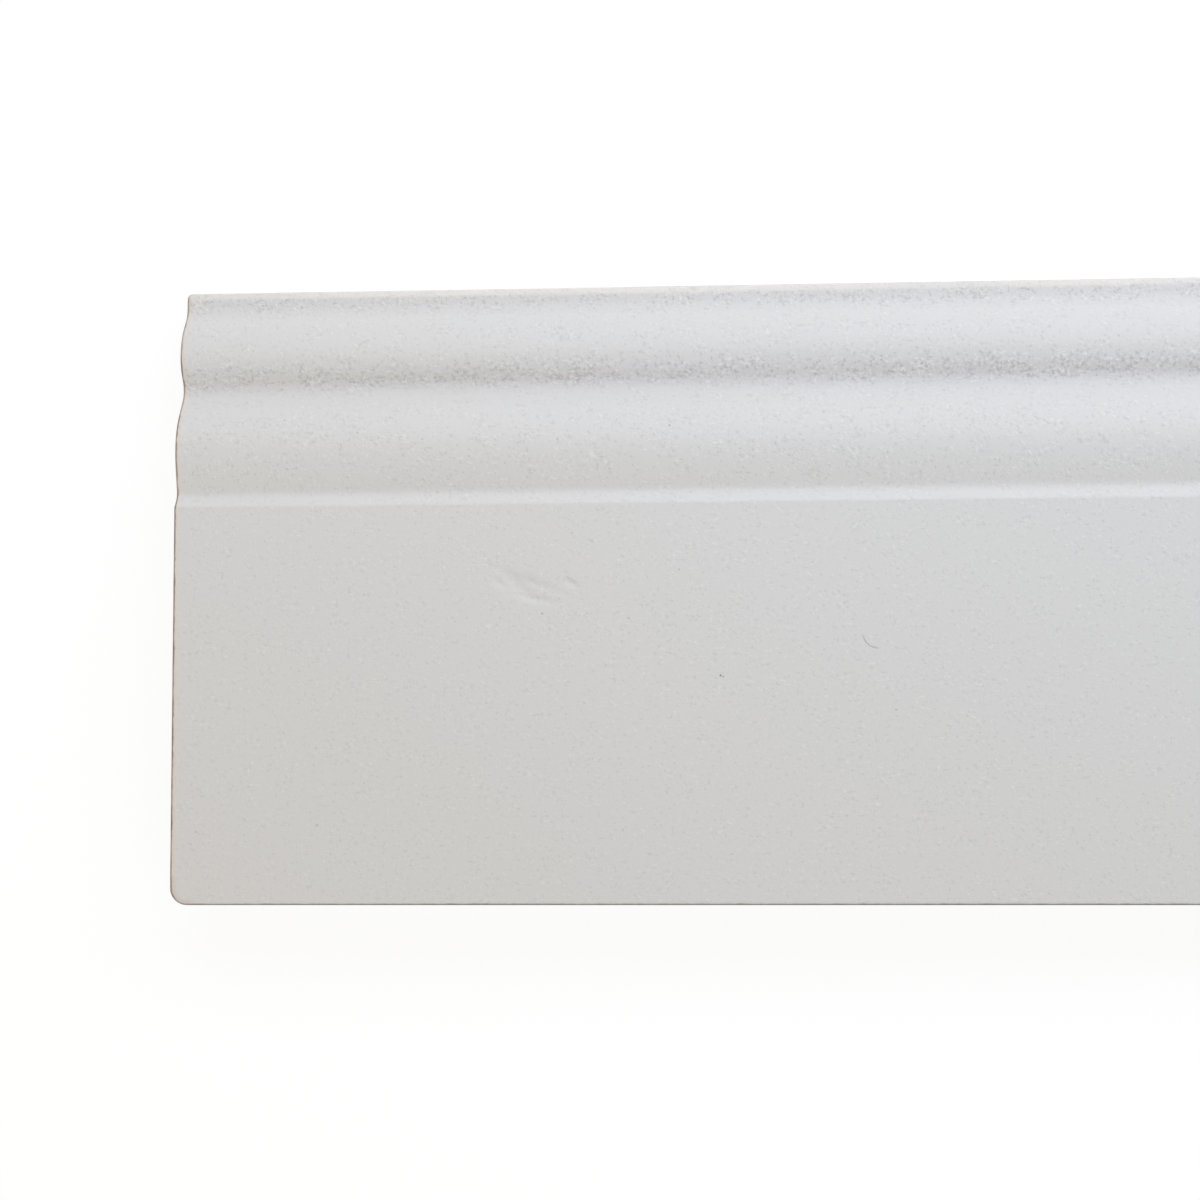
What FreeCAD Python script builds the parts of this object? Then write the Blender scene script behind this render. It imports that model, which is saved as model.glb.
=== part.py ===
"""One length of moulded skirting board, lying on its back on a level floor.

X runs along the board, Y from the floor edge up to the moulded top edge, Z from the flat back
to the front face. The origin is the middle of the back. Millimetres.

The board is one piece of fibreboard. A moulder cuts its section, the same from end to end: under
the top edge a narrow flat fillet, then a cove, a bead, a quirk, an ovolo, and a shallow groove
with a bevel up to the flat face. The ends are sawn square, and the corners and the front arrises
are eased.
"""

import FreeCAD, Part
import enum
import math
import os

import Sketcher

# Every size of the board, in millimetres. A width is taken across the board, from one station
# of the moulding to the next, and a depth is how far behind the front face a station lies.
SIZES = {
    "board_length": 2400.0,
    "board_height": 120.0,
    "board_thickness": 16.0,
    "fillet_width": 2.7,
    "fillet_depth": 7.4,
    "cove_radius": 5.0,
    "bead_upper_width": 11.0,
    "bead_upper_radius": 10.4,
    "bead_depth": 3.0,
    "bead_lower_radius": 6.5,
    "bead_lower_width": 6.4,
    "quirk_depth": 5.4,
    "quirk_radius": 2.9,
    "ovolo_upper_width": 12.4,
    "ovolo_upper_radius": 12.5,
    "ovolo_depth": 0.2,
    "ovolo_lower_radius": 16.9,
    "ovolo_lower_width": 8.4,
    "groove_upper_radius": 3.6,
    "groove_depth": 1.6,
    "groove_lower_radius": 1.9,
    "bevel_width": 3.1,
    "bevel_radius": 1.1,
    "top_corner_radius": 1.0,
    "bottom_corner_radius": 3.3,
    "arris_radius": 0.7,
}

# The stations of the moulding, downward from the fillet's lower side. The section is level at
# each: the highest line of a round or the lowest of a hollow. The last is the face's upper edge.
STATIONS = ("fillet", "bead", "quirk", "ovolo", "groove", "face")

# The sides of the rounds, each from one station to the next: its width, the radius that it
# leaves the upper station with, and the radius that it reaches the lower one with.
SIDES = (
    ("bead_upper_width", "cove_radius", "bead_upper_radius"),
    ("bead_lower_width", "bead_lower_radius", "quirk_radius"),
    ("ovolo_upper_width", "quirk_radius", "ovolo_upper_radius"),
    ("ovolo_lower_width", "ovolo_lower_radius", "groove_upper_radius"),
    ("bevel_width", "groove_lower_radius", "bevel_radius"),
)

# The two arcs of a side keep this share of the radii at which no straight is left between them.
FULLEST = 0.97
# The eased arris stays inside the corners and the bevel that it runs round by this share.
INSIDE = 0.8

# How near two places have to be, in millimetres, to be taken as one.
SAME_PLACE = 1e-6


class Spot(enum.IntEnum):
    """The points of a sketch's edge, as the sketch's constraints number them."""

    START = 1
    END = 2
    CENTRE = 3


# The sketch's own origin, as its constraints name it.
ORIGIN = (-1, Spot.START)


def point(across, out):
    """A point of the section: across is its place along Y, and out is its place along Z."""
    return FreeCAD.Vector(across, out, 0)


def make_sheet(doc):
    """The driving sizes, one cell each, with the size's name as its alias."""
    sheet = doc.addObject("Spreadsheet::Sheet", "sizes")
    for row, (name, value) in enumerate(SIZES.items(), start=1):
        sheet.set(f"A{row}", name)
        sheet.set(f"B{row}", str(value))
        sheet.setAlias(f"B{row}", name)
    doc.recompute()


def depth_of(station):
    """How far behind the front face a station lies."""
    return 0.0 if station == "face" else SIZES[f"{station}_depth"]


def depth_rule(station):
    return "0" if station == "face" else f"sizes.{station}_depth"


def fitted_radii(width, rise, radii):
    """The two radii of a side, made smaller together where the side has no room for them."""
    room = (width**2 + rise**2) / (2 * rise)
    share = min(1.0, FULLEST * room / sum(radii))
    return [radius * share for radius in radii]


def radius_rule(name, side, upper, lower):
    """What fitted_radii works out, as the sheet's expression for one of the side's arcs."""
    width, *radii = (f"sizes.{size}" for size in side)
    rise = f"abs({depth_rule(upper)} - {depth_rule(lower)})"
    room = f"({width}^2 + {rise}^2) / (2 * {rise})"
    return f"sizes.{name} * min(1; {FULLEST} * {room} / ({' + '.join(radii)}))"


class Round:
    """An arc's circle, level at its station. A hollow one has its middle in front of the wood."""

    def __init__(self, station, radius, hollow):
        self.station = station
        self.radius = radius
        self.hollow = hollow
        self.middle = station + point(0, radius if hollow else -radius)

    def touch(self, outward):
        """Where the circle bounds the wood with the given direction pointing out of it."""
        return self.middle + outward * (-self.radius if self.hollow else self.radius)

    def arc(self, first, last):
        """The edge between two points of the circle. An arc's own ends run counter-clockwise."""
        begin, end = (last, first) if self.hollow else (first, last)
        circle = Part.Circle(self.middle, FreeCAD.Vector(0, 0, 1), self.radius)
        return Part.ArcOfCircle(circle, self.angle(begin), self.angle(end))

    def angle(self, place):
        """The direction of a point of the circle, seen from its middle."""
        return math.atan2(place.y - self.middle.y, place.x - self.middle.x)


def straight_between(upper, lower):
    """The outward direction of the straight that touches the two rounds of a side."""
    apart = lower.middle - upper.middle
    turn = math.acos((upper.radius + lower.radius) / apart.Length)
    heading = math.atan2(apart.y, apart.x)
    angle = heading - turn if lower.hollow else heading + math.pi + turn
    return point(math.cos(angle), math.sin(angle))


class Chain:
    """The closed chain of a section's edges in their sketch, each tied to the one before."""

    def __init__(self, sketch):
        self.sketch = sketch
        self.edges = []

    def line(self, first, last):
        return self.add(Part.LineSegment(first, last), Spot.START, Spot.END)

    def arc(self, shape, first, last):
        ends = (Spot.END, Spot.START) if shape.hollow else (Spot.START, Spot.END)
        return self.add(shape.arc(first, last), *ends)

    def add(self, edge, first, last):
        """One more edge: its number in the sketch. Only two straights in a row make a corner."""
        number = self.sketch.addGeometry(edge, False)
        if self.edges:
            self.tie(self.edges[-1], (number, first, isinstance(edge, Part.LineSegment)))
        self.edges.append((number, last, isinstance(edge, Part.LineSegment)))
        return number

    def tie(self, before, after):
        kind = "Coincident" if before[2] and after[2] else "Tangent"
        self.sketch.addConstraint(Sketcher.Constraint(kind, *before[:2], *after[:2]))

    def close(self, first):
        """Ties the last straight to the first one."""
        self.tie(self.edges[-1], (first, Spot.START, True))


def bind(sketch, name, kind, places, value, rule):
    """A named dimension of the sketch, which follows the sheet."""
    number = sketch.addConstraint(Sketcher.Constraint(kind, *places, value))
    sketch.renameConstraint(number, name)
    sketch.setExpression(f"Constraints.{name}", rule)


def station_points():
    """Where the stations lie in the section."""
    across = SIZES["board_height"] / 2 - SIZES["fillet_width"]
    places = []
    for station, side in zip(STATIONS, (*SIDES, None)):
        places.append(point(across, SIZES["board_thickness"] - depth_of(station)))
        across -= SIZES[side[0]] if side else 0.0
    return places


def draw_side(sketch, chain, number, places):
    """One side of a round, between two stations: an arc, a straight and an arc."""
    side = SIDES[number]
    names = STATIONS[number : number + 2]
    width, *radii = (SIZES[size] for size in side)
    rise = places[1].y - places[0].y
    fitted = fitted_radii(width, abs(rise), radii)
    upper = Round(places[0], fitted[0], hollow=rise > 0)
    lower = Round(places[1], fitted[1], hollow=rise < 0)
    outward = straight_between(upper, lower)
    leave, arrive = upper.touch(outward), lower.touch(outward)

    first = chain.arc(upper, upper.station, leave)
    chain.line(leave, arrive)
    last = chain.arc(lower, arrive, lower.station)
    for edge, shape, size, where in (
        (first, upper, side[1], "leaves"),
        (last, lower, side[2], "reaches"),
    ):
        label = f"{size}_{where}_{names[0] if edge == first else names[1]}"
        bind(sketch, label, "Radius", (edge,), shape.radius, radius_rule(size, side, *names))
    end = (last, Spot.START if lower.hollow else Spot.END)
    start = (first, Spot.END if upper.hollow else Spot.START)
    bind(sketch, side[0], "DistanceX", (*end, *start), width, f"sizes.{side[0]}")
    return end, last


def draw_section(sketch):
    """The whole section, counter-clockwise from the floor edge's back corner."""
    height, thickness = SIZES["board_height"], SIZES["board_thickness"]
    places = station_points()
    top_front = point(height / 2, places[0].y)
    chain = Chain(sketch)

    back = chain.line(point(-height / 2, 0), point(height / 2, 0))
    top_edge = chain.line(point(height / 2, 0), top_front)
    fillet = chain.line(top_front, places[0])
    ends = []
    for number in range(len(SIDES)):
        ends.append(draw_side(sketch, chain, number, places[number : number + 2]))
    face = chain.line(places[-1], point(-height / 2, thickness))
    floor_edge = chain.line(point(-height / 2, thickness), point(-height / 2, 0))
    chain.close(back)

    for level in (back, fillet, face):
        sketch.addConstraint(Sketcher.Constraint("Horizontal", level))
    for upright in (top_edge, floor_edge):
        sketch.addConstraint(Sketcher.Constraint("Vertical", upright))
    sketch.addConstraint(Sketcher.Constraint("Symmetric", back, Spot.START, back, Spot.END, *ORIGIN))

    lengths = (
        ("board_height", "DistanceX", (back, Spot.START, back, Spot.END), height),
        ("board_thickness", "DistanceY", (floor_edge, Spot.END, floor_edge, Spot.START), thickness),
        ("fillet_width", "DistanceX", (fillet, Spot.END, fillet, Spot.START), SIZES["fillet_width"]),
        ("fillet_depth", "DistanceY", (fillet, Spot.END, face, Spot.START), SIZES["fillet_depth"]),
    )
    for name, kind, where, value in lengths:
        bind(sketch, name, kind, where, value, f"sizes.{name}")
    # Between the fillet and the face, each station's depth is set, and the arc that reaches it
    # has its middle straight behind it or straight in front of it.
    for station, (end, arc) in zip(STATIONS[1:-1], ends):
        where = (*end, face, Spot.START)
        bind(sketch, f"{station}_depth", "DistanceY", where, depth_of(station), depth_rule(station))
        sketch.addConstraint(Sketcher.Constraint("Vertical", *end, arc, Spot.CENTRE))


def make_board(doc):
    """The skirting board: its section padded to its length, then its corners and arrises eased."""
    body = doc.addObject("PartDesign::Body", "skirting_board")
    body.Label = "skirting_board"
    sketch = body.newObject("Sketcher::SketchObject", "section")
    plane = next(item for item in body.Origin.OriginFeatures if item.Role == "YZ_Plane")
    sketch.AttachmentSupport = [(plane, "")]
    sketch.MapMode = "FlatFace"
    doc.recompute()
    draw_section(sketch)
    doc.recompute()

    moulding = body.newObject("PartDesign::Pad", "moulding")
    moulding.Profile = sketch
    moulding.SideType = "Symmetric"
    moulding.setExpression("Length", "sizes.board_length")
    doc.recompute()

    floor_side, top_side = -SIZES["board_height"] / 2, SIZES["board_height"] / 2
    bottom = ease(body, moulding, "bottom_corner", upright_edges(moulding.Shape, floor_side))
    corners = ease(body, bottom, "top_corner", upright_edges(bottom.Shape, top_side))
    # The front arrises join smoothly all round the board, so one of them leads to the rest.
    front = long_edge(corners.Shape, floor_side, SIZES["board_thickness"])
    limits = ("bevel_radius", "top_corner_radius", "bottom_corner_radius")
    rule = "; ".join(f"{INSIDE} * sizes.{name}" for name in limits)
    ease(body, corners, "arris", [front], f"min(sizes.arris_radius; {rule})")
    return body


def ease(body, feature, name, edges, rule=None):
    """Rounds the named edges of a feature with the radius that goes by the given name."""
    rounding = body.newObject("PartDesign::Fillet", f"eased_{name}")
    rounding.Base = (feature, edges)
    rounding.setExpression("Radius", rule or f"sizes.{name}_radius")
    body.Document.recompute()
    return rounding


def upright_edges(shape, across):
    """The names of the edges that run along Z at one place along Y, one at each end."""
    names = []
    for number, edge in enumerate(shape.Edges, start=1):
        box = edge.BoundBox
        if max(box.XLength, box.YLength) < SAME_PLACE and abs(box.YMin - across) < SAME_PLACE:
            names.append(f"Edge{number}")
    return names


def long_edge(shape, across, out):
    """The name of the edge that runs along X at one place of the section."""
    for number, edge in enumerate(shape.Edges, start=1):
        box = edge.BoundBox
        if max(box.YLength, box.ZLength) > SAME_PLACE:
            continue
        if abs(box.YMin - across) < SAME_PLACE and abs(box.ZMin - out) < SAME_PLACE:
            return f"Edge{number}"
    raise ValueError(f"no edge runs along the board at {across}, {out}")


def check(doc, board):
    """Stops the script where an object of the document failed or the board is no sound solid."""
    for item in doc.Objects:
        if {"Invalid", "Error"} & set(item.State):
            raise RuntimeError(f"{item.Name} failed: {item.State}")
    if not doc.section.FullyConstrained:
        raise RuntimeError("the section has a size that nothing sets")
    if board.Shape.isNull() or not board.Shape.isValid() or len(board.Shape.Solids) != 1:
        raise RuntimeError(f"{board.Label} is not one valid solid")


def main():
    doc = FreeCAD.newDocument("skirting")
    make_sheet(doc)
    board = make_board(doc)
    doc.recompute()
    check(doc, board)
    os.makedirs("parts", exist_ok=True)
    board.Shape.exportStep(f"parts/{board.Label}.step")
    print(f"{board.Label}: {board.Shape.Volume / 1000.0:.1f} cubic centimetres")


main()
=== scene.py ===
"""The looks of one length of moulded skirting board, lying on its back on a pale floor.

The dressed board has the sizes of the CAD part and takes its node's place. Lengths that stand
for the wood are in millimetres until the mesh is made; Blender's own are in metres.
"""

import math

import bpy
from mathutils import Euler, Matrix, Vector, noise


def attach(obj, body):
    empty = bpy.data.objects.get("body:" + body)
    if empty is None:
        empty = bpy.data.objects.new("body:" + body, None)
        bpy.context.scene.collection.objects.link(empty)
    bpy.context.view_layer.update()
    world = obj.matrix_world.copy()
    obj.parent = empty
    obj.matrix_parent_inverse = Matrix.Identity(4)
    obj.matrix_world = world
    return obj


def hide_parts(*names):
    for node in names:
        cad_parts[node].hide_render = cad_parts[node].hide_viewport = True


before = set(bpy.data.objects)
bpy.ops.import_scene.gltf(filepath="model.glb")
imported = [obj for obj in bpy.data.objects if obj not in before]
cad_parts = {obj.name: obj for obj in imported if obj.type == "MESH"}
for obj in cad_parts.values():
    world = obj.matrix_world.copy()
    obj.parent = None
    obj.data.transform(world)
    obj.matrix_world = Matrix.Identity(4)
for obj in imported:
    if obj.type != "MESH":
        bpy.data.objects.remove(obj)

MM = 0.001

# The section, as the CAD part has it. A width is taken across the board, and a depth behind the
# front face.
LENGTH = 2400.0
HEIGHT = 120.0
THICKNESS = 16.0
FILLET_WIDTH = 2.7
FILLET_DEPTH = 7.4
# Each side of a round: its width, the depth that it goes down to, and the radii that it leaves
# the upper station with and reaches the lower one with.
SIDES = (
    (11.0, 3.0, 5.0, 10.4),
    (6.4, 5.4, 6.5, 2.9),
    (12.4, 0.2, 2.9, 12.5),
    (8.4, 1.6, 16.9, 3.6),
    (3.1, 0.0, 1.9, 1.1),
)
FULLEST = 0.97
ARRIS = 0.7
TOP_CORNER = 1.0
BOTTOM_CORNER = 3.3

# How finely the mesh follows the section and the arris.
ARC_STEP = math.radians(5.0)
STRAIGHT_STEP = 1.0
ARRIS_STEPS = 6
CORNER_STEPS = 8

# Zones of the mesh: from and to, and the width of its cells there. Along the board they are
# taken from its left end, and down the face from the lower side of the moulding.
ALONG_ZONES = (
    (ARRIS, 2.5, 0.3),
    (2.5, 61.0, 1.25),
    (61.0, 80.5, 0.25),
    (80.5, 204.0, 1.25),
    (204.0, LENGTH - 18.0, 24.0),
    (LENGTH - 18.0, LENGTH - 2.5, 1.5),
    (LENGTH - 2.5, LENGTH - ARRIS, 0.3),
)
FACE_ZONES = ((0.0, 1.0, 0.25), (1.0, 11.0, 1.25), (11.0, 21.0, 0.25), (21.0, 72.4, 1.25))
# Rows across the fillet, from the top edge.
FILLET_ROWS = (1.0, 1.3, 1.6, 2.1, 2.7)

# The knock on the face: strokes of a gouge, each with its middle from the left end and across,
# its half length, its half widths below and above its line, its direction in degrees and depth.
KNOCK = (
    (67.5, 0.4, 4.0, 1.7, 1.5, -32.0, 0.48),
    (70.0, 0.9, 5.6, 0.8, 0.8, -21.0, 0.21),
    (68.1, 0.9, 2.7, 0.9, 0.9, -46.0, -0.18),
    (70.4, -2.1, 5.0, 0.7, 0.65, -11.0, 0.17),
    (63.3, 0.9, 1.5, 0.75, 0.6, -35.0, 0.18),
    (76.95, 1.3, 1.2, 1.0, 0.22, -33.0, 0.38),
    (75.9, 2.8, 0.35, 0.35, 0.3, 0.0, 0.14),
)
# Lines that the cutter left along the moulding: across, half width and depth.
CUTTER_LINES = (
    (58.3, 0.22, 0.02),
    (24.95, 0.2, 0.008),
    (23.45, 0.22, 0.014),
    (20.45, 0.2, 0.016),
)
# The top arris is worn away further than the rest: how far in, and how deep at its outer side.
WORN_TOP_WIDTH = 1.0
WORN_TOP_DEPTH = 0.16

# How rough the coat is, from 0 to 1, by how far below the top edge. It is roughest where the
# cutter ran down the lower side of the bead.
GRAIN = (
    (0.0, 0.6),
    (1.0, 0.72),
    (3.6, 0.72),
    (4.8, 0.35),
    (6.2, 0.15),
    (8.5, 0.28),
    (10.3, 0.42),
    (12.0, 0.3),
    (13.2, 0.38),
    (14.5, 0.4),
    (16.4, 0.9),
    (17.2, 1.0),
    (18.8, 1.0),
    (19.8, 0.7),
    (20.8, 0.3),
    (25.0, 0.2),
    (26.5, 0.35),
    (39.0, 0.32),
    (41.5, 0.22),
    (43.5, 0.15),
    (45.0, 0.13),
    (HEIGHT, 0.13),
)

# Specks in the coat that stand out: from the left end, across, radius and darkness. Fainter
# ones are scattered over the whole board.
SPECKS = (
    (105.2, -16.9, 0.30, 0.85),
    (105.7, -17.1, 0.26, 0.55),
    (95.9, 31.1, 0.26, 0.6),
    (71.4, -4.9, 0.28, 0.5),
    (138.1, -23.5, 0.28, 0.4),
    (21.2, 33.2, 0.24, 0.4),
    (37.2, -1.0, 0.24, 0.35),
    (5.0, -46.1, 0.26, 0.4),
    (4.1, -48.4, 0.24, 0.3),
    (28.4, -44.8, 0.26, 0.3),
    (87.9, -5.9, 0.28, 0.4),
    (97.5, 3.3, 0.28, 0.35),
    (77.1, 10.5, 0.26, 0.35),
    (35.7, 30.4, 0.26, 0.35),
    (48.3, 29.0, 0.26, 0.35),
    (51.1, 18.8, 0.26, 0.35),
    (74.4, 28.7, 0.28, 0.35),
)
# A hair under the coat: the middle of its curve from the left end and across, its radius and
# half width.
HAIR = (134.95, -9.05, 2.8, 0.16)

# The coat's stipple: how many grains go in a millimetre, how far below its middle level a pit
# begins on level and on rough coat, how much that changes from patch to patch and how steeply
# the pits go down. Nibs stand up in the same way.
STIPPLE_SCALE = 1.3
PIT_START = 0.10
ROUGH_START = 0.04
PATCHES = 0.04
STEEPNESS = 7.0
# The bump of the stipple on level and on rough coat, as shares of a distance in metres.
BUMP_DISTANCE = 0.0003
BUMP_LEVEL = 0.09
BUMP_ROUGH = 0.34
# How much of the pit colour, a painted shade in the stipple's pits, shows in level and in rough
# coat, and how much more in the deepest pit there. A nib shows less of it: a painted highlight.
PIT_SHADE_SHARE = 0.2
ROUGH_SHADE_SHARE = 0.27
PIT_SHADE_LEVEL = 0.14
PIT_SHADE_ROUGH = 0.29

# Colours, as linear values.
COAT = (0.815, 0.806, 0.774, 1.0)
# Painted warm light by the ends.
COAT_WARM_LIGHT = (0.812, 0.795, 0.754, 1.0)
# Paler and cooler than the coat: painted highlight on the rough band's nibs and painted cool light.
COAT_ROUGH_HIGHLIGHT = (0.905, 0.898, 0.908, 1.0)
# Painted shade in the stipple's pits.
COAT_PIT_SHADE = (0.42, 0.41, 0.42, 1.0)
# Paler and warmer along the top arris: the thick coat there and a painted highlight where it turns
# up to the light.
COAT_THICK_HIGHLIGHT = (0.840, 0.803, 0.745, 1.0)
COAT_THIN = (0.780, 0.705, 0.635, 1.0)
COAT_WORN = (0.67, 0.59, 0.53, 1.0)
# A dark line along the outermost arrises, at the board's outline: painted shade.
RIM_SHADE = (0.250, 0.215, 0.190, 1.0)
BARE = (0.36, 0.25, 0.155, 1.0)
BARE_DARK = (0.22, 0.155, 0.10, 1.0)
SPECK = (0.20, 0.19, 0.18, 1.0)

# Painted warm light by each end, as a warmer coat: how far from the end it begins to fade and is
# gone.
WARM_LIGHT_FADE = (35.0, 125.0)
# The rough band's paler, cooler coat, a painted highlight and painted cool light, shows from here
# down, as far below the top edge.
COVE_DROP = 8.0

# The camera: where it stands, its turn in degrees and its lens.
CAMERA_PLACE = (-1.102652, -0.023637, 0.338477)
CAMERA_TURN = (3.7491, 2.6657, -0.2972)
CAMERA_LENS = 51.0
CAMERA_SENSOR = 36.0

# Two soft panels: from and to along the board, in metres, width, how far they lean from overhead
# towards the moulded edge in degrees, reach in metres, watts and colour.
PANELS = {
    "cool_panel": (-1.33, 1.3, 0.20, 40.0, 0.40, 4.12, (0.735, 0.81, 0.99)),
    "warm_panel": (-1.9, -1.2, 0.20, -55.0, 0.50, 0.55, (1.0, 0.68, 0.34)),
}
# The light from all round: how strong it is, and its colours overhead, from the lower side and
# from the moulded side.
ROUND_STRENGTH = 1.28
OVERHEAD = (0.225, 0.188, 0.150, 1.0)
LOWER_SIDE = (0.77, 0.885, 0.96, 1.0)
MOULDED_SIDE = (0.785, 0.79, 0.75, 1.0)
# What the camera sees of the floor: how much of it shines white, and how brightly.
FLOOR_WHITE = 0.8
FLOOR_SHINE = 1.1


def side_points(upper, lower, radii):
    """Points down one side of a round, as (across, out, tilt), without the lower station."""
    width, rise = upper[0] - lower[0], lower[1] - upper[1]
    room = (width**2 + rise**2) / (2 * abs(rise))
    share = min(1.0, FULLEST * room / sum(radii))
    first, last = (radius * share for radius in radii)
    # A round whose side climbs away from its upper station leaves that as a hollow.
    sign = 1 if rise > 0 else -1
    first_middle = Vector((upper[0], upper[1] + sign * first))
    last_middle = Vector((lower[0], lower[1] - sign * last))
    apart = last_middle - first_middle
    turn = math.acos((first + last) / apart.length)
    heading = math.atan2(apart.y, apart.x)
    angle = heading + math.pi + turn if sign > 0 else heading - turn
    tilt = math.remainder(math.pi / 2 - angle, 2 * math.pi)

    def on_arc(middle, radius, hollow, at):
        reach = -radius if hollow else radius
        return middle.x + reach * math.sin(at), middle.y + reach * math.cos(at), at

    steps = max(3, math.ceil(abs(tilt) / ARC_STEP))
    points = [on_arc(first_middle, first, sign > 0, tilt * k / steps) for k in range(steps + 1)]
    lower_arc = [
        on_arc(last_middle, last, sign < 0, tilt * (1 - k / steps)) for k in range(steps)
    ]
    leave, arrive = points[-1], lower_arc[0]
    run = math.hypot(arrive[0] - leave[0], arrive[1] - leave[1])
    cells = max(1, math.ceil(run / STRAIGHT_STEP))
    for k in range(1, cells):
        share = k / cells
        across = leave[0] + (arrive[0] - leave[0]) * share
        out = leave[1] + (arrive[1] - leave[1]) * share
        points.append((across, out, tilt))
    return points + lower_arc


def spread(zones):
    """Places through the zones, each zone in equal cells no wider than it says."""
    places = [zones[0][0]]
    for start, stop, step in zones:
        cells = max(1, math.ceil((stop - start) / step - 1e-6))
        places += [start + (stop - start) * (k + 1) / cells for k in range(cells)]
    return places


def corner_rows(corner):
    """Where the rows round a plan corner lie, from the edge: the last is where the bend begins."""
    bend = corner - ARRIS
    turns = [math.pi / 2 * (1 - k / CORNER_STEPS) for k in range(CORNER_STEPS)]
    return [corner - bend * math.sin(turn) for turn in turns]


def section_rows():
    """Rows of the front, from the top arris down to the bottom one, as (across, out, tilt)."""
    top = HEIGHT / 2
    fillet_out = THICKNESS - FILLET_DEPTH
    rows = [(top - drop, fillet_out, 0.0) for drop in corner_rows(TOP_CORNER)]
    rows += [(top - drop, fillet_out, 0.0) for drop in FILLET_ROWS[:-1]]
    station = (top - FILLET_WIDTH, fillet_out)
    for width, depth, *radii in SIDES:
        below = (station[0] - width, THICKNESS - depth)
        rows += side_points(station, below, radii)
        station = below
    rows += [(station[0] - drop, THICKNESS, 0.0) for drop in spread(FACE_ZONES)]
    bottom = reversed(corner_rows(BOTTOM_CORNER))
    rows += [(drop - HEIGHT / 2, THICKNESS, 0.0) for drop in bottom]
    return rows


def end_of_row(across):
    """How far a row reaches from the middle, and which way its end looks in plan."""
    corner = TOP_CORNER if across > 0 else BOTTOM_CORNER
    bend = corner - ARRIS
    beyond = abs(across) - (HEIGHT / 2 - corner)
    if beyond <= 0:
        return LENGTH / 2 - ARRIS, (1.0, 0.0)
    sine = min(1.0, beyond / bend)
    cosine = math.sqrt(max(0.0, 1 - sine**2))
    return LENGTH / 2 - corner + bend * cosine, (cosine, math.copysign(sine, across))


def knock_depth(along, across):
    """How deep the knock is at a place."""
    depth = 0.0
    for middle, level, reach, below, above, angle, amount in KNOCK:
        turn = math.radians(angle)
        right, up = along - middle, across - level
        forward = (right * math.cos(turn) + up * math.sin(turn)) / reach
        aside = up * math.cos(turn) - right * math.sin(turn)
        aside /= above if aside > 0 else below
        depth += amount * math.exp(-(forward**2 + aside**2))
    return depth


def relief(along, across):
    """How far the worked surface lies behind the true section."""
    worn = (across - HEIGHT / 2 + ARRIS) / WORN_TOP_WIDTH + 1
    depth = WORN_TOP_DEPTH * max(0.0, worn) ** 2
    if abs(along - 71.0) < 12 and abs(across) < 8:
        depth += knock_depth(along, across)
    for line, width, amount in CUTTER_LINES:
        aside = (across - line) / width
        if abs(aside) < 4:
            lively = 0.6 + 0.4 * noise.noise((along / 35.0, line, 0.0))
            depth += amount * lively * math.exp(-(aside**2))
    return max(0.0, depth)


def grain_at(drop):
    """How raised the grain is at a place below the top edge."""
    for (above, high), (below, low) in zip(GRAIN, GRAIN[1:]):
        if drop <= below:
            return high + (low - high) * (drop - above) / (below - above)
    return GRAIN[-1][1]


def front_grid(rows, columns):
    """The front's points, row by row, each with the way its surface looks."""
    points, fixed = [], LENGTH / 2 - 6.0
    for across, out, tilt in rows:
        reach, _ = end_of_row(across)
        squeeze = (reach - fixed) / (LENGTH / 2 - ARRIS - fixed)
        for along in columns:
            x = along - LENGTH / 2
            if abs(x) > fixed:
                x = math.copysign(fixed + (abs(x) - fixed) * squeeze, x)
            points.append((x, across, out - relief(along, across)))
    return points


def rim_of(rows, columns):
    """The front's outer points in order round the board: (number, plan look, surface tilt)."""
    count, last = len(columns), len(rows) - 1
    rim = [(k, (0.0, 1.0), 0.0) for k in range(count)]
    for row in range(1, last):
        look = end_of_row(rows[row][0])[1]
        rim.append((row * count + count - 1, look, rows[row][2]))
    rim += [(last * count + k, (0.0, -1.0), 0.0) for k in reversed(range(count))]
    for row in reversed(range(1, last)):
        look = end_of_row(rows[row][0])[1]
        rim.append((row * count, (-look[0], look[1]), rows[row][2]))
    return rim


def board_shape():
    """Vertices, faces, the first face of the back, and each vertex's grain and front share."""
    rows, columns = section_rows(), spread(ALONG_ZONES)
    count = len(columns)
    points = front_grid(rows, columns)
    grain = [grain_at(HEIGHT / 2 - across) for across, _, _ in rows for _ in columns]
    faces = []
    for row in range(len(rows) - 1):
        for k in range(count - 1):
            here = row * count + k
            faces.append((here, here + count, here + count + 1, here + 1))

    rim = rim_of(rows, columns)
    ring = [number for number, _, _ in rim]
    rings = len(rim)
    for step in range(1, ARRIS_STEPS + 1):
        turn = math.pi / 2 * step / ARRIS_STEPS
        forward, back = ARRIS * math.sin(turn), ARRIS * (1 - math.cos(turn))
        start = len(points)
        for number, look, tilt in rim:
            x, y, z = points[number]
            points.append((
                x + forward * look[0],
                y + forward * look[1] - back * math.sin(tilt),
                z - back * math.cos(tilt),
            ))
            grain.append(grain[number])
        faces += bridge(ring, start)
        ring = list(range(start, start + rings))
    front = [1.0] * len(points)
    for share in (0.93, 0.5, 0.0):
        start = len(points)
        for number in ring:
            x, y, z = points[number]
            points.append((x, y, z * share))
            grain.append(grain[number])
        faces += bridge(ring, start)
        ring = list(range(start, start + rings))
    first_back = len(faces)
    faces += back_faces(ring, count, len(rows))
    front += [0.0] * (len(points) - len(front))
    return points, faces, first_back, {"grain": grain, "front": front}


def bridge(upper, start):
    """Faces between a ring of points and the next one, which begins at start."""
    rings = len(upper)
    faces = []
    for k in range(rings):
        after = (k + 1) % rings
        faces.append((upper[k], upper[after], start + after, start + k))
    return faces


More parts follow.
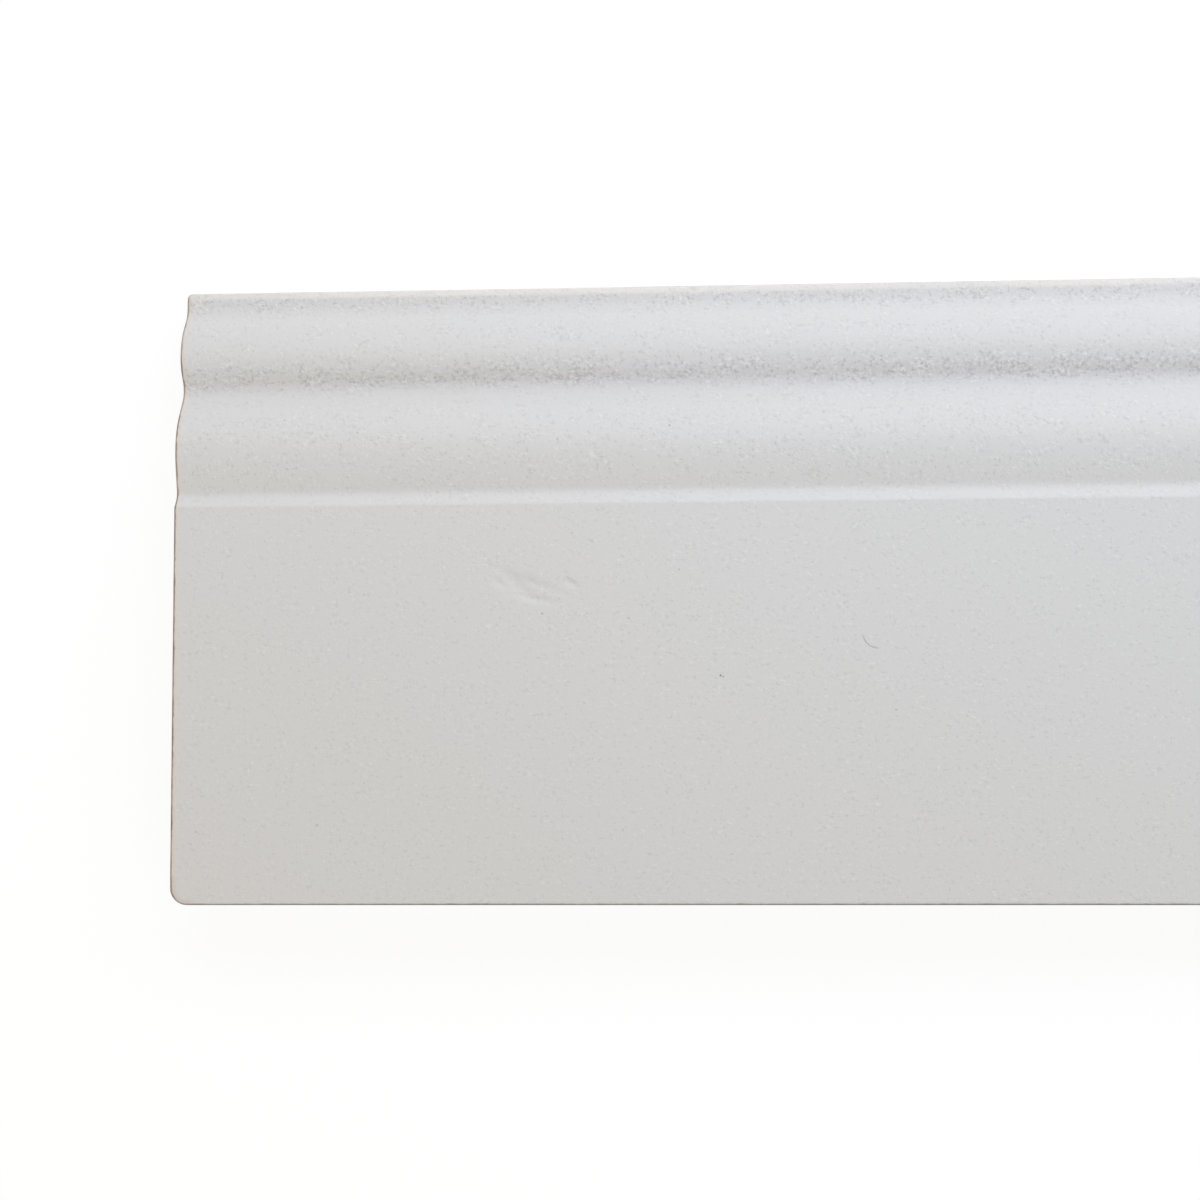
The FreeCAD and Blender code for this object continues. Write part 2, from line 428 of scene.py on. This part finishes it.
def back_faces(ring, count, row_count):
    """The flat back, in strips across the board and one face at each end."""
    side = row_count - 2
    top = ring[:count]
    right = ring[count:count + side]
    bottom = list(reversed(ring[count + side:2 * count + side]))
    left = list(reversed(ring[2 * count + side:]))
    faces = []
    for k in range(count - 1):
        faces.append((top[k], top[k + 1], bottom[k + 1], bottom[k]))
    faces.append((top[-1], *right, bottom[-1]))
    faces.append((bottom[0], *reversed(left), top[0]))
    return faces


def make_board():
    """The dressed board, in place of the CAD node."""
    points, faces, first_back, shares = board_shape()
    mesh = bpy.data.meshes.new("skirting_board_dressed")
    mesh.from_pydata([(x * MM, y * MM, z * MM) for x, y, z in points], [], faces)
    for number, face in enumerate(mesh.polygons):
        face.use_smooth = number < first_back
    for name, values in shares.items():
        layer = mesh.attributes.new(name, "FLOAT", "POINT")
        layer.data.foreach_set("value", values)
    mesh.validate()
    board = bpy.data.objects.new("skirting_board_dressed", mesh)
    bpy.context.scene.collection.objects.link(board)
    board.data.materials.append(make_coat())
    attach(board, "root")
    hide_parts("skirting_board")
    return board


class Nodes:
    """Short ways to lay out a material's nodes."""

    def __init__(self, tree):
        self.tree = tree

    def add(self, kind, inputs=(), **settings):
        node = self.tree.nodes.new(kind)
        for name, value in settings.items():
            setattr(node, name, value)
        for key, value in dict(inputs).items():
            if isinstance(value, bpy.types.NodeSocket):
                self.tree.links.new(value, node.inputs[key])
            else:
                node.inputs[key].default_value = value
        return node

    def math(self, operation, first, second=0.0, clamp=False):
        return self.add(
            "ShaderNodeMath", {0: first, 1: second}, operation=operation, use_clamp=clamp
        ).outputs[0]

    def fade(self, value, start, stop, low=0.0, high=1.0):
        """Runs smoothly from low to high as the value goes from start to stop."""
        inputs = {"Value": value, "From Min": start, "From Max": stop, "To Min": low, "To Max": high}
        return self.add(
            "ShaderNodeMapRange", inputs, interpolation_type="SMOOTHSTEP"
        ).outputs["Result"]

    def ramp(self, value, start, stop, low=0.0, high=1.0):
        """Runs straight from low to high as the value goes from start to stop."""
        inputs = {"Value": value, "From Min": start, "From Max": stop, "To Min": low, "To Max": high}
        return self.add("ShaderNodeMapRange", inputs).outputs["Result"]

    def cells(self, place, scale):
        """Random cells across the board."""
        inputs = {"Vector": place, "Scale": scale}
        return self.add("ShaderNodeTexVoronoi", inputs, voronoi_dimensions="2D")

    def blend(self, share, first, second):
        node = self.add("ShaderNodeMix", {0: share, 6: first, 7: second}, data_type="RGBA")
        return node.outputs[2]

    def vector(self, operation, first, second=(0.0, 0.0, 0.0)):
        return self.add("ShaderNodeVectorMath", {0: first, 1: second}, operation=operation)

    def noise(self, place, scale, detail=2.0, rough=0.5):
        inputs = {"Vector": place, "Scale": scale, "Detail": detail, "Roughness": rough}
        return self.add("ShaderNodeTexNoise", inputs).outputs["Fac"]


def rim_distance(nodes, place):
    """How far a point lies inside the board's outline in plan, and how far it is an end's."""
    size = nodes.vector("ABSOLUTE", place).outputs[0]
    edge = nodes.vector("SUBTRACT", size, (LENGTH / 2, HEIGHT / 2, 1000.0)).outputs[0]
    height = nodes.add("ShaderNodeSeparateXYZ", {0: place}).outputs[1]
    corner = nodes.ramp(height, -1.0, 1.0, BOTTOM_CORNER, TOP_CORNER)
    beyond = nodes.vector("ADD", edge, corner).outputs[0]
    outside = nodes.vector("MAXIMUM", beyond, (0.0, 0.0, 0.0)).outputs[0]
    outward = nodes.vector("LENGTH", outside).outputs["Value"]
    parts = nodes.add("ShaderNodeSeparateXYZ", {0: beyond}).outputs
    inward = nodes.math("MINIMUM", nodes.math("MAXIMUM", parts[0], parts[1]), 0.0)
    distance = nodes.math("SUBTRACT", corner, nodes.math("ADD", outward, inward))
    by_end = nodes.math("SUBTRACT", parts[0], parts[1])
    return distance, nodes.fade(by_end, -1.2, 1.2)


def speck_mask(nodes, flat):
    """Dark specks: the ones with a place of their own, and faint ones all over."""
    mask = None
    for along, across, radius, darkness in SPECKS:
        centre = (along - LENGTH / 2, across, 0.0)
        away = nodes.vector("DISTANCE", flat, centre).outputs["Value"]
        spot = nodes.ramp(away, radius * 0.3, radius, darkness, 0.0)
        mask = spot if mask is None else nodes.math("MAXIMUM", mask, spot)
    cells = nodes.cells(flat, 0.16)
    chosen = nodes.add("ShaderNodeSeparateColor", {0: cells.outputs["Color"]}).outputs[0]
    size = nodes.ramp(chosen, 0.35, 1.0, 0.0, 0.034)
    near = nodes.math("LESS_THAN", cells.outputs["Distance"], size)
    return nodes.math("MAXIMUM", mask, nodes.math("MULTIPLY", near, 0.14))


def hair_mask(nodes, flat):
    """The hair's line under the coat, a quarter of a circle."""
    along, across, radius, width = HAIR
    middle = (along - LENGTH / 2, across, 0.0)
    away = nodes.vector("DISTANCE", flat, middle).outputs["Value"]
    off = nodes.math("ABSOLUTE", nodes.math("SUBTRACT", away, radius))
    line = nodes.ramp(off, 0.0, width, 1.0, 0.0)
    parts = nodes.add("ShaderNodeSeparateXYZ", {0: flat}).outputs
    left = nodes.ramp(parts[0], middle[0] - 0.2, middle[0] + 0.3, 1.0, 0.0)
    low = nodes.ramp(parts[1], across - 0.8, across, 1.0, 0.0)
    return nodes.math("MULTIPLY", nodes.math("MULTIPLY", line, left), low)


def stipple_depth(nodes, place, grain):
    """Scattered pits, above 0, and nibs, below it: more of them where the coat is rough."""
    start = nodes.ramp(grain, 0.0, 1.0, PIT_START, ROUGH_START)
    patches = nodes.ramp(nodes.noise(place, 0.3, 1.0, 0.5), 0.3, 0.7, -PATCHES, PATCHES)
    start = nodes.math("MAXIMUM", nodes.math("ADD", start, patches), 0.0)
    below = nodes.math("SUBTRACT", 0.5, nodes.noise(place, STIPPLE_SCALE, 2.0, 0.6))
    past = nodes.math("SUBTRACT", nodes.math("ABSOLUTE", below), start)
    size = nodes.math("MULTIPLY", past, STEEPNESS, clamp=True)
    return nodes.math("MULTIPLY", size, nodes.math("SIGN", below))


def surface_height(nodes, flat, raised, bare, fibre, hair):
    """The coat's stipple and nibs, and the fibres of the bare board, as heights."""
    cells = nodes.cells(flat, 0.42)
    chosen = nodes.add("ShaderNodeSeparateColor", {0: cells.outputs["Color"]}).outputs[1]
    nib = nodes.ramp(cells.outputs["Distance"], 0.04, 0.18, 1.0, 0.0)
    nibs = nodes.math("MULTIPLY", nib, nodes.ramp(chosen, 0.4, 1.0, 0.0, 0.16))
    coat = nodes.math("ADD", nodes.math("ADD", raised, nibs), nodes.math("MULTIPLY", hair, 0.4))
    return nodes.add("ShaderNodeMix", {0: bare, 2: coat, 3: fibre}).outputs[0]


def rim_colours(nodes, place, colour):
    """The coat along the arrises: thick on the top one, with a painted highlight there, thin and
    worn on the rest, with a line of painted shade along the outermost arris.

    The edges below the arrises have the plain coat.
    """
    rim, by_end = rim_distance(nodes, place)
    up = nodes.add("ShaderNodeSeparateXYZ", {0: place}).outputs[1]
    upper = nodes.ramp(up, 0.0, 1.0)
    front = nodes.add("ShaderNodeAttribute", attribute_name="front").outputs["Fac"]
    not_end = nodes.math("MULTIPLY", nodes.math("SUBTRACT", 1.0, by_end), front)
    by_end = nodes.math("MULTIPLY", by_end, front)
    by_top = nodes.math("MULTIPLY", upper, not_end)
    by_bottom = nodes.math("SUBTRACT", not_end, by_top)
    wander = nodes.ramp(nodes.noise(place, 0.6, 1.0, 0.6), 0.2, 0.8, -0.13, 0.13)
    ragged = nodes.math("ADD", rim, wander)

    patches = nodes.fade(nodes.noise(place, 0.03, 2.0, 0.6), 0.4, 0.6, 0.65, 1.0)
    # The thick coat on the top arris, paler and warmer: a painted highlight.
    thick = nodes.fade(ragged, 1.1, 1.8, patches, 0.0)
    colour = nodes.blend(nodes.math("MULTIPLY", thick, by_top), colour, COAT_THICK_HIGHLIGHT)
    near = nodes.fade(ragged, 0.9, 1.7, 0.75, 0.0)
    thin = nodes.math("ADD", near, nodes.fade(rim, 0.7, 3.0, 0.12, 0.0))
    colour = nodes.blend(nodes.math("MULTIPLY", thin, by_end), colour, COAT_THIN)

    size = nodes.vector("ABSOLUTE", nodes.vector("MULTIPLY", place, (1.0, 1.0, 0.0)).outputs[0])
    corner = (LENGTH / 2, HEIGHT / 2, 0.0)
    off_corner = nodes.vector("DISTANCE", size.outputs[0], corner).outputs["Value"]
    by_corner = nodes.fade(off_corner, 2.5, 7.0, nodes.math("SUBTRACT", 1.0, upper), 0.0)
    rubbed = nodes.math("MULTIPLY", nodes.fade(ragged, 0.6, 1.7, 0.6, 0.0), by_corner)
    rubbed = nodes.math("MULTIPLY", rubbed, front)
    colour = nodes.blend(rubbed, colour, COAT_WORN)

    # Painted shade: a dark line along the outermost arris of the ends, along the bottom and, in
    # stretches, along the top.
    lengths = nodes.fade(nodes.noise(place, 0.13, 1.0, 0.5), 0.35, 0.6, 0.65, 1.0)
    end_shade = nodes.math("MULTIPLY", nodes.fade(ragged, 0.34, 0.62, lengths, 0.0), by_end)
    steady = nodes.math("ADD", rim, nodes.math("MULTIPLY", wander, 0.5))
    bottom_shade = nodes.math("MULTIPLY", nodes.fade(steady, 0.2, 0.42, 1.0, 0.0), by_bottom)
    stretches = nodes.fade(nodes.noise(place, 0.035, 1.0, 0.5), 0.45, 0.6, 0.0, 0.45)
    top_shade = nodes.math("MULTIPLY", nodes.fade(rim, 0.05, 0.2, stretches, 0.0), by_top)
    line = nodes.math("ADD", nodes.math("ADD", end_shade, bottom_shade), top_shade, clamp=True)
    return nodes.blend(line, colour, RIM_SHADE)


def bare_mask(nodes, place):
    """Where the board is bare: on its back and down its ends, below the arris."""
    parts = nodes.add("ShaderNodeSeparateXYZ", {0: place}).outputs
    back = nodes.ramp(parts[2], 0.0, 0.1, 1.0, 0.0)
    reach = nodes.math("ABSOLUTE", parts[0])
    end = nodes.ramp(reach, LENGTH / 2 - 0.03, LENGTH / 2 - 0.005)
    return nodes.math("MAXIMUM", back, end)


def make_coat():
    """White primer over fibreboard, worn thin at the arrises and bare on the ends and back, with
    painted shade and highlight in its colour.
    """
    material = bpy.data.materials.new("primed_fibreboard")
    material.use_nodes = True
    tree = material.node_tree
    tree.nodes.clear()
    nodes = Nodes(tree)
    here = nodes.add("ShaderNodeTexCoord").outputs["Object"]
    place = nodes.vector("MULTIPLY", here, (1 / MM, 1 / MM, 1 / MM)).outputs[0]
    flat = nodes.vector("MULTIPLY", here, (1 / MM, 1 / MM, 0.0)).outputs[0]
    bare = bare_mask(nodes, place)
    hair = hair_mask(nodes, flat)
    fibre = nodes.noise(place, 1.1, 3.0, 0.75)
    grain = nodes.add("ShaderNodeAttribute", attribute_name="grain").outputs["Fac"]
    depth = stipple_depth(nodes, place, grain)

    parts = nodes.add("ShaderNodeSeparateXYZ", {0: place}).outputs
    reach = nodes.math("ABSOLUTE", parts[0])
    # Painted warm light: the coat is warmer towards each end.
    by_end = nodes.fade(reach, LENGTH / 2 - WARM_LIGHT_FADE[1], LENGTH / 2 - WARM_LIGHT_FADE[0])
    colour = nodes.blend(by_end, COAT, COAT_WARM_LIGHT)
    # Painted highlight and cool light on the rough band: a paler, cooler coat there, weaker by the
    # ends.
    rough_highlight_share = nodes.ramp(by_end, 0.0, 1.0, 1.0, 0.4)
    below_cove = nodes.fade(parts[1], HEIGHT / 2 - COVE_DROP, HEIGHT / 2, 1.0, 0.0)
    rough = nodes.math("MULTIPLY", nodes.fade(grain, 0.25, 1.0), rough_highlight_share)
    rough = nodes.math("MULTIPLY", rough, below_cove)
    colour = nodes.blend(rough, colour, COAT_ROUGH_HIGHLIGHT)
    # Painted shade in the stipple's pits, and a painted highlight on its nibs, which show less of
    # the pit colour.
    pit_shade = nodes.math("MULTIPLY", depth, nodes.ramp(grain, 0.1, 1.0, PIT_SHADE_LEVEL, PIT_SHADE_ROUGH))
    share = nodes.ramp(rough, 0.0, 1.0, PIT_SHADE_SHARE, ROUGH_SHADE_SHARE)
    shade = nodes.math("ADD", pit_shade, share, clamp=True)
    colour = nodes.blend(shade, colour, COAT_PIT_SHADE)
    colour = rim_colours(nodes, place, colour)
    colour = nodes.blend(bare, colour, nodes.blend(nodes.ramp(fibre, 0.3, 0.7), BARE_DARK, BARE))
    marks = nodes.math("MAXIMUM", speck_mask(nodes, flat), nodes.math("MULTIPLY", hair, 0.22))
    colour = nodes.blend(marks, colour, SPECK)

    steep = nodes.ramp(grain, 0.0, 1.0, -BUMP_LEVEL, -BUMP_ROUGH)
    raised = nodes.math("MULTIPLY", depth, steep)
    surface = surface_height(nodes, flat, raised, bare, fibre, hair)
    bump = nodes.add(
        "ShaderNodeBump", {"Strength": 1.0, "Distance": BUMP_DISTANCE, "Height": surface}
    )
    rough = nodes.add("ShaderNodeMix", {0: bare, 2: 0.5, 3: 0.9}).outputs[0]
    inputs = {"Base Color": colour, "Roughness": rough, "Normal": bump.outputs[0]}
    shader = nodes.add("ShaderNodeBsdfPrincipled", inputs)
    shader.inputs["IOR"].default_value = 1.45
    nodes.add("ShaderNodeOutputMaterial", {"Surface": shader.outputs[0]})
    return material


def make_camera():
    data = bpy.data.cameras.new("camera")
    data.sensor_width = CAMERA_SENSOR
    data.lens = CAMERA_LENS
    data.clip_start = 0.01
    data.clip_end = 100.0
    camera = bpy.data.objects.new("camera", data)
    camera.location = CAMERA_PLACE
    camera.rotation_euler = Euler([math.radians(angle) for angle in CAMERA_TURN])
    bpy.context.scene.collection.objects.link(camera)
    bpy.context.scene.camera = camera


def make_panel(name, start, stop, width, lean, reach, watts, colour):
    """A long soft panel of light that leans towards one side of the board."""
    data = bpy.data.lights.new(name, "AREA")
    data.shape = "RECTANGLE"
    data.size = stop - start
    data.size_y = width
    data.energy = watts
    data.color = colour
    lamp = bpy.data.objects.new(name, data)
    turn = math.radians(lean)
    lamp.location = ((start + stop) / 2, reach * math.sin(turn), reach * math.cos(turn))
    lamp.rotation_euler = (-turn, 0.0, 0.0)
    lamp.visible_camera = False
    bpy.context.scene.collection.objects.link(lamp)


def shows_white(nodes):
    """Where a ray shows the white background: from the camera, a reflection or glass."""
    path = nodes.add("ShaderNodeLightPath").outputs
    mirrored = nodes.math("MAXIMUM", path["Is Glossy Ray"], path["Is Transmission Ray"])
    return nodes.math("MAXIMUM", path["Is Camera Ray"], mirrored)


def make_world():
    """Soft light from all round, stronger from the two sides than from overhead."""
    world = bpy.data.worlds.new("studio")
    bpy.context.scene.world = world
    world.use_nodes = True
    world.node_tree.nodes.clear()
    nodes = Nodes(world.node_tree)
    way = nodes.add("ShaderNodeTexCoord").outputs["Generated"]
    parts = nodes.add("ShaderNodeSeparateXYZ", {0: way}).outputs
    lean = nodes.math("ARCTAN2", parts[1], parts[2])
    tilt = nodes.math("ABSOLUTE", lean)
    sides = nodes.blend(nodes.math("GREATER_THAN", lean, 0.0), LOWER_SIDE, MOULDED_SIDE)
    colour = nodes.blend(nodes.fade(tilt, 0.0, math.pi / 2), OVERHEAD, sides)
    light = nodes.add("ShaderNodeBackground", {"Color": colour, "Strength": ROUND_STRENGTH})
    white = nodes.add("ShaderNodeBackground", {"Color": (1.0, 1.0, 1.0, 1.0), "Strength": 1.0})
    inputs = {0: shows_white(nodes), 1: light.outputs[0], 2: white.outputs[0]}
    mixed = nodes.add("ShaderNodeMixShader", inputs)
    nodes.add("ShaderNodeOutputWorld", {"Surface": mixed.outputs[0]})


def make_floor():
    """A pale floor that the camera sees as white where nothing shades it."""
    half = 30.0
    mesh = bpy.data.meshes.new("floor")
    corners = [(-half, -half, 0.0), (half, -half, 0.0), (half, half, 0.0), (-half, half, 0.0)]
    mesh.from_pydata(corners, [], [(0, 1, 2, 3)])
    floor = bpy.data.objects.new("floor", mesh)
    floor.location.z = -0.0002
    bpy.context.scene.collection.objects.link(floor)
    material = bpy.data.materials.new("floor")
    material.use_nodes = True
    material.node_tree.nodes.clear()
    nodes = Nodes(material.node_tree)
    pale = nodes.add("ShaderNodeBsdfDiffuse", {"Color": (0.8, 0.8, 0.8, 1.0)})
    shine = nodes.add("ShaderNodeEmission", {"Strength": FLOOR_SHINE})
    inputs = {0: FLOOR_WHITE, 1: pale.outputs[0], 2: shine.outputs[0]}
    seen = nodes.add("ShaderNodeMixShader", inputs)
    inputs = {0: shows_white(nodes), 1: pale.outputs[0], 2: seen.outputs[0]}
    mixed = nodes.add("ShaderNodeMixShader", inputs)
    nodes.add("ShaderNodeOutputMaterial", {"Surface": mixed.outputs[0]})
    floor.data.materials.append(material)


def main():
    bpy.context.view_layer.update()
    make_camera()
    make_board()
    for name, panel in PANELS.items():
        make_panel(name, *panel)
    make_world()
    make_floor()
    bpy.context.scene.view_settings.view_transform = "Standard"


main()
